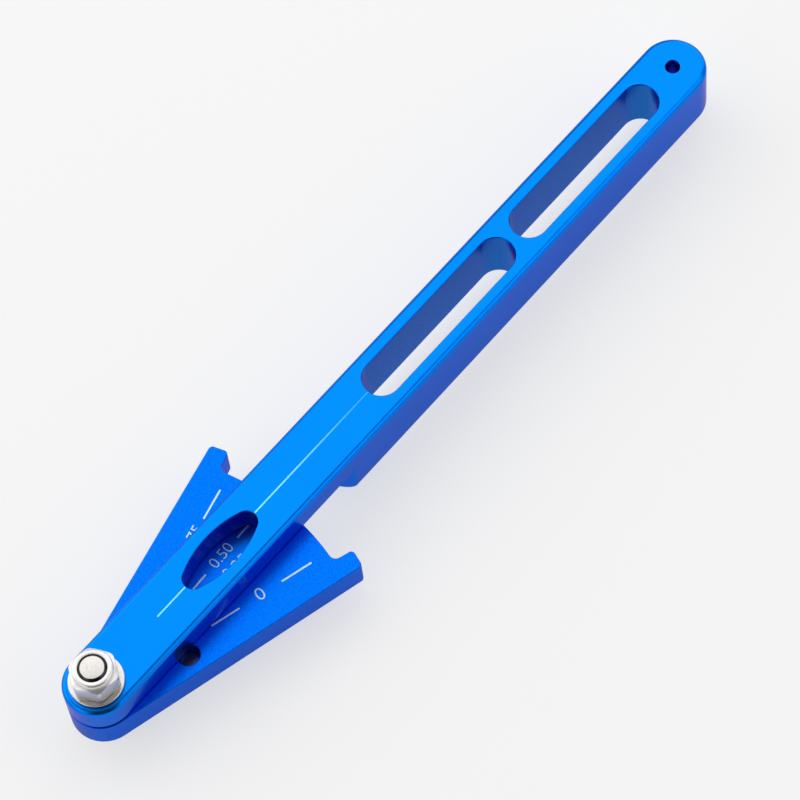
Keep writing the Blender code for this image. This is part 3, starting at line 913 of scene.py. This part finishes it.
def mark_place(angle, start, end, top):
    """Where a mark lies whose middle is between these radii, on a face at this height."""
    middle = polar((start + end) / 2, angle)
    middle.z = top + (MARK_PROUD - MARK_SUNK) / 2
    return Matrix.Translation(pivot + middle) @ Matrix.Rotation(math.radians(angle), 4, "Z")


def stroke(bm, angle, start, end, top, width=STROKE):
    """Adds a straight mark along this direction from the pivot."""
    size = Matrix.Diagonal((end - start, width, MARK_PROUD + MARK_SUNK, 1.0))
    bmesh.ops.create_cube(bm, size=1.0, matrix=mark_place(angle, start, end, top) @ size)


# %% Digits
THINNER = -0.008


def digits(bm, text, angle, start, end, height, top):
    """Adds a label that reads outwards along this direction, between these radii."""
    curve = bpy.data.curves.new(text, "FONT")
    curve.body = text
    curve.extrude = 0.5
    curve.resolution_u = 4
    curve.offset = THINNER
    sign = bpy.data.objects.new(text, curve)
    scene.collection.objects.link(sign)
    depsgraph = bpy.context.evaluated_depsgraph_get()
    letters = bpy.data.meshes.new_from_object(sign.evaluated_get(depsgraph))
    low = Vector([min(v.co[axis] for v in letters.vertices) for axis in range(3)])
    high = Vector([max(v.co[axis] for v in letters.vertices) for axis in range(3)])
    span = high - low
    fit = Matrix.Diagonal(((end - start) / span.x, height / span.y,
                           (MARK_PROUD + MARK_SUNK) / span.z, 1.0))
    centred = Matrix.Translation(-(low + high) / 2)
    letters.transform(mark_place(angle, start, end, top) @ fit @ centred)
    bm.from_mesh(letters)
    bpy.data.objects.remove(sign)
    bpy.data.meshes.remove(letters)


# %% Mark the plate and the bar
INNER_LINE = (22.8 * MM, 28.7 * MM)
OUTER_LINE = (37.55 * MM, 43.8 * MM)
LABEL = (30.65 * MM, 35.75 * MM)
SHORT_LABEL = (32.3 * MM, 33.9 * MM)
INDEX_START = 15.7 * MM
SCALE = [
    ("0", -15.6, -15.2, SHORT_LABEL, 2.4 * MM),
    ("0.25", -3.2, -3.0, LABEL, 2.1 * MM),
    ("0.50", 2.45, 2.8, LABEL, 2.1 * MM),
    ("0.75", 13.5, 13.7, LABEL, 2.1 * MM),
]
scale = bmesh.new()
for text, line_angle, label_angle, label, height in SCALE:
    for start, end in (INNER_LINE, OUTER_LINE):
        stroke(scale, line_angle, start, end, plate_high.z)
    digits(scale, text, label_angle, *label, height, plate_high.z)


def finish_marks(name, bm, body, material):
    bmesh.ops.recalc_face_normals(bm, faces=bm.faces)
    piece = as_object(name, bm)
    piece.data.materials.append(material)
    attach(piece, body)
    print(f"{name}: {len(piece.data.polygons)} faces")


finish_marks("wear_scale", scale, "plate", mark_white)
index = bmesh.new()
window_ends = (WINDOW_AT - WINDOW_HALF_LENGTH, WINDOW_AT + WINDOW_HALF_LENGTH)
stroke(index, 0.0, INDEX_START, window_ends[0] - RIM_ROUND, bar_high.z, INDEX_STROKE)
stroke(index, 0.0, window_ends[1] + RIM_ROUND, SLOTS_START - RIM_ROUND, bar_high.z, INDEX_STROKE)
finish_marks("index_line", index, "bar", index_cyan)

# %% [markdown]
# ## Floor, surroundings and lamps
# The photograph has a white ground, and a soft light from above that leaves the bar's flank in shade.
# The floor is a pale sheet that keeps the soft shadow. For the rays that show it, straight or in
# metal, it is paler and has a share of plain white, and a Light Path node tells those rays from the
# light that it throws back.
#
# The room is brightest at the horizon, dimmer overhead, and darkest on the side that the photograph
# was taken from. Metal mirrors just that: the flat top shows a large soft lamp, the rounded edge shows
# first the dim ceiling and then the bright horizon, as two thin lines, the flank shows the shaded
# floor at its foot, and the plate close to the bar shows the dark side.

# %% A white ground that keeps the shadow
FLOOR_SEEN = (0.97, 0.97, 0.97, 1.0)
FLOOR_PLAIN = (0.7, 0.7, 0.7, 1.0)
WHITE_SHARE = 0.6
WHITE_IN_METAL = 0.3
FLOOR_HALF = 3.0
FLOOR_BELOW = 0.02 * MM
WHITE = (1.0, 1.0, 1.0, 1.0)


def pale_floor():
    material = bpy.data.materials.new("pale_floor")
    material.use_nodes = True
    tree = material.node_tree
    tree.nodes.clear()
    straight, in_metal, through_glass = [
        Wire.node(tree, "ShaderNodeLightPath", output=kind)
        for kind in ("Is Camera Ray", "Is Glossy Ray", "Is Transmission Ray")]
    plain = Wire.node(tree, "ShaderNodeBsdfDiffuse", None, {"Color": FLOOR_PLAIN})
    white = Wire.node(tree, "ShaderNodeBsdfDiffuse", None, {"Color": FLOOR_SEEN})
    glow = Wire.node(tree, "ShaderNodeEmission", None, {"Color": WHITE})
    share = straight * WHITE_SHARE + (in_metal + through_glass) * WHITE_IN_METAL
    pale = Wire.node(tree, "ShaderNodeMixShader", None, {0: share, 1: white, 2: glow})
    seen = straight + in_metal + through_glass
    mixed = Wire.node(tree, "ShaderNodeMixShader", None, {0: seen, 1: plain, 2: pale})
    output = tree.nodes.new("ShaderNodeOutputMaterial")
    tree.links.new(mixed.socket, output.inputs["Surface"])
    return material


floor_mesh = bmesh.new()
bmesh.ops.create_grid(floor_mesh, x_segments=1, y_segments=1, size=FLOOR_HALF)
floor = as_object("floor", shift(floor_mesh, Vector((0.0, 0.0, -FLOOR_BELOW))))
floor.data.materials.append(pale_floor())
print(f"floor: {FLOOR_HALF * 2:.0f} m square, {WHITE_SHARE:.0%} plain white where it is seen")

# %% The room
HORIZON_LIGHT = 0.6
CEILING_LIGHT = 0.42
DARK_SIDE = (-0.492, -0.587, 0.643)
DARK_STARTS = 0.66
DARK_FULL = 0.84
DARK_SHARE = 0.8
world = bpy.data.worlds.new("pale_room")
scene.world = world
world.use_nodes = True
room = world.node_tree
room.nodes.clear()
looking = Wire.node(room, "ShaderNodeTexCoord", output="Generated")
upwards = Wire.node(room, "ShaderNodeSeparateXYZ", None, {0: looking}, output="Z")
nearness = Wire.node(room, "ShaderNodeVectorMath", {"operation": "DOT_PRODUCT"},
                     {0: looking, 1: DARK_SIDE}, "Value")
shade = 1.0 - ramp(nearness, DARK_STARTS, DARK_FULL) * DARK_SHARE
light = ramp(upwards, 0.08, 0.4, HORIZON_LIGHT, CEILING_LIGHT) * shade
surround = Wire.node(room, "ShaderNodeBackground", None, {"Color": WHITE, "Strength": light})
world_output = room.nodes.new("ShaderNodeOutputWorld")
room.links.new(surround.socket, world_output.inputs["Surface"])
print(f"room: {HORIZON_LIGHT} at the horizon, {CEILING_LIGHT} overhead")

# %% [markdown]
# The top softbox is the lamp that the flat faces mirror towards the camera. The high strip and the
# front softbox give the walls and the nut's flats their shine, and the other three stand behind the
# gauge and at its two ends, so that rounded edges and turned steel have something bright on each side.

# %% Soft lamps
LAMP_DISTANCE = 1.0
middle = (cad_box[0] + cad_box[1]) / 2


def lamp(name, direction, width, height, radiance):
    """A soft lamp that looks at the gauge's middle, as bright as a surface of this radiance."""
    light = bpy.data.lights.new(name, "AREA")
    light.shape = "RECTANGLE"
    light.size = width
    light.size_y = height
    light.energy = radiance * math.pi * width * height
    piece = bpy.data.objects.new(name, light)
    away = Vector(direction).normalized()
    piece.location = middle + away * LAMP_DISTANCE
    piece.rotation_euler = away.to_track_quat("Z", "Y").to_euler()
    scene.collection.objects.link(piece)
    print(f"{name}: {light.energy:.2f} W")


lamp("top_softbox", (0.30, 0.42, 0.86), 1.1, 0.7, 1.0)
lamp("high_front_strip", (0.42, -0.50, 0.757), 0.8, 0.34, 0.9)
lamp("front_softbox", (0.35, -0.75, 0.42), 1.0, 0.4, 0.8)
lamp("back_softbox", (-0.3, 0.8, 0.45), 1.2, 0.7, 1.3)
lamp("left_softbox", (-0.87, 0.12, 0.48), 0.6, 0.6, 0.9)
lamp("right_softbox", (0.9, 0.15, 0.45), 0.8, 0.6, 1.0)

# %% [markdown]
# ## Camera
# The camera was worked out from the photograph: points whose places on the gauge are known were
# matched to where they are seen, by least squares. That gives its direction, its distance and a long
# lens, so nothing has to be shifted or cropped.

# %% Place the camera
AIM = Vector((-0.0814205, -0.0030064, 0.0098743))
DISTANCE = 0.732838
AZIMUTH = math.radians(-132.0065)
ELEVATION = math.radians(63.2076)
ROLL = math.radians(-8.2072)
LENS = 183.743
towards_camera = Vector((math.cos(ELEVATION) * math.cos(AZIMUTH),
                         math.cos(ELEVATION) * math.sin(AZIMUTH),
                         math.sin(ELEVATION)))
camera_data = bpy.data.cameras.new("photo_camera")
camera_data.lens = LENS
camera_data.sensor_width = 36.0
camera = bpy.data.objects.new("photo_camera", camera_data)
camera.location = AIM + towards_camera * DISTANCE
roll = Quaternion((0.0, 0.0, 1.0), ROLL)
camera.rotation_euler = (towards_camera.to_track_quat("Z", "Y") @ roll).to_euler()
scene.collection.objects.link(camera)
scene.camera = camera
scene.view_settings.view_transform = "Standard"
print("camera at", [round(c, 4) for c in camera.location])
